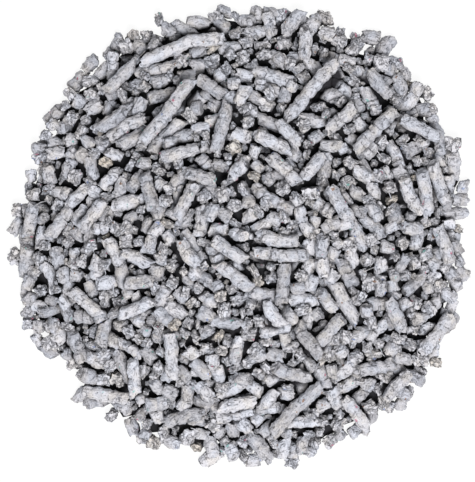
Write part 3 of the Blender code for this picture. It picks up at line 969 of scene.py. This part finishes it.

# %% [markdown]
# ## Dry paper pulp
#
# Pulp from printed paper is a light, slightly violet grey, because all its inks are mixed in. Close up it is
# mottled, with pale and dark fibres along the pellet, fine creases and dark specks, and now and then a fleck
# of a whole colour from a scrap that was never pulped. It is quite matt. Deep between the pellets, where
# hardly any light comes, its colour is painted near-black as painted shade.
#
# That takes many nodes, so a small class wraps the output of a node, and maths on it is written as sums.

# %% A short way to write shader nodes
class Value:
    """The output of a node. Arithmetic on it adds Math nodes to the same tree."""

    def __init__(self, tree, socket):
        self.tree, self.socket = tree, socket

    def node(self, kind, settings=(), values=(), output=0):
        return add_node(self.tree, kind, settings, values, output)

    def to(self, node, name):
        """Links this value to an input of a node."""
        self.tree.links.new(self.socket, node.inputs[name])

    def maths(self, operation, *values):
        return self.node("ShaderNodeMath", {"operation": operation}, dict(enumerate(values)))

    def __add__(self, other):
        return self.maths("ADD", self, other)

    def __sub__(self, other):
        return self.maths("SUBTRACT", self, other)

    def __rsub__(self, other):
        return self.maths("SUBTRACT", other, self)

    def __mul__(self, other):
        return self.maths("MULTIPLY", self, other)

    def __gt__(self, other):
        return self.maths("GREATER_THAN", self, other)

    def ramp(self, low, high):
        """0 at low, 1 at high, and smooth between."""
        return self.node("ShaderNodeMapRange", {"interpolation_type": "SMOOTHSTEP"},
                         {"Value": self, "From Min": low, "From Max": high})

    __radd__ = __add__


def add_node(tree, kind, settings=(), values=(), output=0):
    """Adds a node, sets it up, fills or links its inputs, and returns one of its outputs."""
    node = tree.nodes.new(kind)
    for name, value in dict(settings).items():
        setattr(node, name, value)
    for name, value in dict(values).items():
        if isinstance(value, Value):
            tree.links.new(value.socket, node.inputs[name])
        else:
            node.inputs[name].default_value = value
    return Value(tree, node.outputs[output])


# %% Helpers for colours and patterns
def mixed(factor, first, second, blend="MIX"):
    """Blends two colours by a factor."""
    return factor.node("ShaderNodeMix", {"data_type": "RGBA", "blend_type": blend},
                       {0: factor, 6: first, 7: second}, 2)


def stretched(where, *scale):
    """These places, scaled along each axis."""
    return where.node("ShaderNodeVectorMath", {"operation": "MULTIPLY"}, {0: where, 1: scale})


def shifted(where, scale, offset):
    """These places, scaled and then moved by an offset."""
    return where.node("ShaderNodeVectorMath", {"operation": "MULTIPLY_ADD"},
                      {0: where, 1: (scale, scale, scale), 2: offset})


def noise(where, scale, detail=2.0, output=0):
    """A soft random pattern, of about 1 / scale in size."""
    return where.node("ShaderNodeTexNoise", {}, {"Vector": where, "Scale": scale, "Detail": detail}, output)


def cells(where, scale, feature="F1", output=0):
    """A pattern of random cells, of about 1 / scale in size."""
    return where.node("ShaderNodeTexVoronoi", {"feature": feature}, {"Vector": where, "Scale": scale}, output)


def wrinkles(where, scale, width):
    """Thin curved lines, drawn where a noise passes through its middle value."""
    height = noise(where, scale)
    return 1 - height.maths("ABSOLUTE", height - 0.5).ramp(0.0, width)


# %% [markdown]
# Patterns are read in millimetres on the pellet's own shape, moved far off by its own number, so that no two
# pellets are alike. One set of places is drawn out along the pellet, for its fibres. Another one wanders, so
# that cracks and flecks that are read there get crooked edges.

# %% Where a point lies on its own pellet
PER_MM = 1000
APART = 370.0

pulp = bpy.data.materials.new("dry_pulp")
pulp.use_nodes = True
pulp_tree = pulp.node_tree
own_place = add_node(pulp_tree, "ShaderNodeAttribute", {"attribute_name": "own_place"}, output=1)
number = add_node(pulp_tree, "ShaderNodeAttribute", {"attribute_name": "own_number"}, output=2)
depth = add_node(pulp_tree, "ShaderNodeAttribute", {"attribute_name": "depth"}, output=2)
is_crumb = number > 1.0
apart = number * APART
place = shifted(own_place, PER_MM, apart)
drawn_out = stretched(place, 0.35, 1, 1)
wander = noise(place, 0.8, output=1)
wandered = shifted(wander, 2.4, place)
print("nodes so far:", len(pulp_tree.nodes))

# %% [markdown]
# The tone goes from grey to pale by a number of the pellet's own, by mottling, by fibres and by grain. Broad
# tints then cool it or warm it a little, and a few crumbs are stained.

# %% Tone and tint
PALE = (0.475, 0.47, 0.498, 1)
GREY = (0.22, 0.217, 0.233, 1)
COOLER = (0.90, 0.98, 1.08, 1)
WARMER = (1.08, 1.01, 0.87, 1)
STAINED = (1.03, 0.94, 0.78, 1)

own_tone = apart.node("ShaderNodeTexWhiteNoise", {"noise_dimensions": "1D"}, {"W": apart})
own_warmth = apart.node("ShaderNodeTexWhiteNoise", {"noise_dimensions": "1D"}, {"W": apart + 5.0})
mottle = noise(place, 0.45)
fibre = noise(drawn_out, 1.1)
grain = noise(place, 1.5)
tone = own_tone * 0.5 + mottle * 0.5 + fibre * 0.6 + grain * 0.8 + is_crumb * 0.3 - 0.60
tint = noise(place, 0.16)
colour = mixed(tone.ramp(0.0, 1.0), GREY, PALE)
colour = mixed(tint.ramp(0.52, 0.38) * 0.45, colour, COOLER, "MULTIPLY")
colour = mixed(tint.ramp(0.54, 0.68) * 0.45, colour, WARMER, "MULTIPLY")
colour = mixed(own_warmth.ramp(0.92, 1.0) * is_crumb, colour, STAINED, "MULTIPLY")
print("nodes so far:", len(pulp_tree.nodes))

# %% [markdown]
# Drying cracks run across a pellet, between long cells, and show only where the pulp is dark. Creases follow
# its length. A crumb is folded in thin flakes and has short curls of fibre. The darkness of cracks, creases,
# folds and curls is painted shade, and the pale line along each flake's edge is a painted highlight.

# %% Cracks, creases and folds
# A near-black: the colour of real ink specks, and also painted shade in cracks, creases, folds and curls.
INK_AND_SHADE = (0.05, 0.05, 0.06, 1)

between_slabs = cells(stretched(wandered, 0.24, 0.07, 0.07), 1, "DISTANCE_TO_EDGE")
between_flakes = cells(stretched(wandered, 0.24, 0.55, 0.40), 1, "DISTANCE_TO_EDGE")
crack = (1 - between_slabs.ramp(0.0, 0.035)) * mottle.ramp(0.47, 0.40)
fold = (1 - between_flakes.ramp(0.01, 0.10)) * mottle.ramp(0.56, 0.46) * is_crumb
crease = wrinkles(drawn_out, 0.55, 0.06) * noise(place, 0.5).ramp(0.51, 0.58)
curl = wrinkles(place, 0.45, 0.07) * is_crumb
# Painted highlight: a pale line just inside the edge of each flake, as if light caught it.
flake_edge_highlight = between_flakes.ramp(0.08, 0.13) * (1 - between_flakes.ramp(0.15, 0.24)) * is_crumb
# Painted shade: cracks, folds, creases and curls are darkened in colour, as if shade lay in them; they are also
# dented by the bump below.
colour = mixed(crack * 0.7 + fold * 0.5, colour, INK_AND_SHADE)
colour = mixed(crease * 0.4 + curl * 0.5, colour, INK_AND_SHADE)
colour = mixed(flake_edge_highlight * 0.3, colour, PALE)
print("nodes so far:", len(pulp_tree.nodes))

# %% [markdown]
# Specks are the peaks of a fine noise. Flecks are the middles of a few cells, and the cell's own colour says
# by chance which cells have one and in which dye. Painted shade darkens what lies deep.

# %% Specks, flecks and painted shade
PINK = (0.40, 0.13, 0.19, 1)
TEAL = (0.12, 0.30, 0.28, 1)
BLUE = (0.14, 0.19, 0.36, 1)
BROWN = (0.17, 0.09, 0.05, 1)
# A near-black for painted shade, deep between the pellets and on the inside.
PAINTED_SHADE = (0.010, 0.009, 0.012, 1)
SHADE_FROM, SHADE_FULL = -0.4 * MM, 3.6 * MM

speck = noise(place, 2.3, 0.5).ramp(0.66, 0.74)
colour = mixed(speck * 0.6, colour, INK_AND_SHADE)
cell_colour = cells(wandered, 0.6, output=1)
chance, either, other = (
    cell_colour.node("ShaderNodeSeparateColor", {}, {"Color": cell_colour}, channel) for channel in range(3))
fleck = (1 - cells(wandered, 0.6).ramp(0.28, 0.42)) * (chance > 0.978)
dye = mixed(either > 0.5, mixed(other > 0.5, PINK, TEAL), mixed(other > 0.35, BLUE, BROWN))
colour = mixed(fleck * 0.8, colour, dye)
# Painted shade: the deeper a point lies under the blurred upper side, the nearer its colour comes to
# near-black.
colour = mixed(depth.ramp(SHADE_FROM, SHADE_FULL) * 0.98, colour, PAINTED_SHADE)
print("nodes so far:", len(pulp_tree.nodes))

# %% Relief and shader
RELIEF_DEPTH = 0.7 * MM

relief = fibre * 0.7 + grain * 0.8 + mottle * 0.5 - crack * 0.6 - fold * 0.5 - crease * 0.4 - curl * 0.4
bump = relief.node("ShaderNodeBump", {}, {"Height": relief, "Strength": 1.0, "Distance": RELIEF_DEPTH})
pulp_shader = pulp_tree.nodes["Principled BSDF"]
colour.to(pulp_shader, "Base Color")
(0.86 + grain * 0.12).to(pulp_shader, "Roughness")
bump.to(pulp_shader, "Normal")
pulp_shader.inputs["Specular IOR Level"].default_value = 0.25
print("nodes in the pulp material:", len(pulp_tree.nodes))

# %% [markdown]
# The imported inside stands for more pulp deep in the heap, where hardly any light comes, so its colour is
# painted shade, close to black.

# %% The dark inside material
CLOD_SCALE = 350
SHADOW = (0.001, 0.001, 0.002, 1)

dark = bpy.data.materials.new("dark_between_pellets")
dark.use_nodes = True
dark_shader = dark.node_tree.nodes["Principled BSDF"]
where = add_node(dark.node_tree, "ShaderNodeTexCoord", output=3)
clods = noise(where, CLOD_SCALE, 4)
# Painted shade: the colour of the inside is near-black, between two dark shades by its clods.
mixed(clods.ramp(0.35, 0.7), SHADOW, PAINTED_SHADE).to(dark_shader, "Base Color")
clods.node("ShaderNodeBump", {}, {"Height": clods, "Distance": 0.6 * MM}).to(dark_shader, "Normal")
dark_shader.inputs["Roughness"].default_value = 0.95
print("nodes in the dark material:", len(dark.node_tree.nodes))

# %% [markdown]
# ## Fastening the pieces
#
# The heap has no moving parts, so every piece rides on its one body, and the CAD nodes that it stands for are
# hidden.

# %% Finish the pieces and fasten them to the heap
for piece in pieces:
    piece.data.materials.clear()
    piece.data.materials.append(pulp)
    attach(piece, "root")
    if nodes_in[piece.name]:
        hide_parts(*nodes_in[piece.name])
packed_inside.data.materials.append(dark)
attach(packed_inside, "root")
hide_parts("litter_bed")
print("pieces:", [piece.name for piece in pieces])

# %% [markdown]
# ## Table, light and camera
#
# The photograph is lit evenly from all round with a large soft light above, and its background is pure white.
# A white world does most of it. The table shows white to the camera and keeps a trace of the heap's shadow.

# %% The table
TABLE_SIZE = 6
TABLE_WHITE = (0.8, 0.8, 0.8, 1)
SHOWN_WHITE = 0.93

bpy.ops.object.select_all(action="DESELECT")
bpy.ops.mesh.primitive_plane_add(size=TABLE_SIZE)
table = bpy.context.object
table.name = "table"
white = bpy.data.materials.new("white_table")
white.use_nodes = True
tree = white.node_tree
tree.nodes["Principled BSDF"].inputs["Base Color"].default_value = TABLE_WHITE
tree.nodes["Principled BSDF"].inputs["Roughness"].default_value = 0.9
seen = add_node(tree, "ShaderNodeLightPath", output=0)
glow = add_node(tree, "ShaderNodeEmission", {}, {"Color": (1, 1, 1, 1), "Strength": 1.0})
shaded = Value(tree, tree.nodes["Principled BSDF"].outputs[0])
surface = add_node(tree, "ShaderNodeMixShader", {}, {0: seen * SHOWN_WHITE, 1: shaded, 2: glow})
surface.to(tree.nodes["Material Output"], "Surface")
table.data.materials.append(white)
print("table:", tuple(table.dimensions), "m")

# %% [markdown]
# The world is white to the camera and gives the heap about half of that as light. The softbox hangs nearly
# overhead, a little below the middle of the picture, so upper sides are bright and gaps dark.

# %% The light
WORLD_LIGHT = 0.46
SOFTBOX_PLACE = (0.12, -0.40, 1.25)
SOFTBOX_SIZE = 0.4
SOFTBOX_POWER = 28

world = bpy.data.worlds.new("white_room")
bpy.context.scene.world = world
world.use_nodes = True
background = world.node_tree.nodes["Background"]
seen = add_node(world.node_tree, "ShaderNodeLightPath", output=0)
(WORLD_LIGHT + seen * (1 - WORLD_LIGHT)).to(background, "Strength")
background.inputs["Color"].default_value = (1, 1, 1, 1)
lamp = bpy.data.lights.new("softbox_above", "AREA")
lamp.size = SOFTBOX_SIZE
lamp.energy = SOFTBOX_POWER
softbox = bpy.data.objects.new("softbox_above", lamp)
softbox.location = SOFTBOX_PLACE
softbox.rotation_euler = (-Vector(SOFTBOX_PLACE)).to_track_quat("-Z", "Y").to_euler()
bpy.context.scene.collection.objects.link(softbox)
print("softbox:", SOFTBOX_POWER, "W at", SOFTBOX_PLACE)

# %% [markdown]
# The camera looks straight down. Its lens follows from the width of the table that the picture shows, and it
# stands half a pixel to the left and one pixel down, which puts the heap where the photograph has it.

# %% The camera
PHOTO_WIDTH = 475
FRAME_WIDTH = 185.3 * MM
PIXEL = FRAME_WIDTH / PHOTO_WIDTH
CAMERA_HEIGHT = 1.1
SENSOR_WIDTH = 36

lens = bpy.data.cameras.new("camera")
lens.sensor_fit = "HORIZONTAL"
lens.sensor_width = SENSOR_WIDTH
lens.lens = SENSOR_WIDTH * CAMERA_HEIGHT / FRAME_WIDTH
camera = bpy.data.objects.new("camera", lens)
camera.location = (-0.5 * PIXEL, -PIXEL, CAMERA_HEIGHT)
bpy.context.scene.collection.objects.link(camera)
bpy.context.scene.camera = camera
bpy.context.scene.view_settings.view_transform = "Standard"
print("lens:", round(lens.lens), "mm")
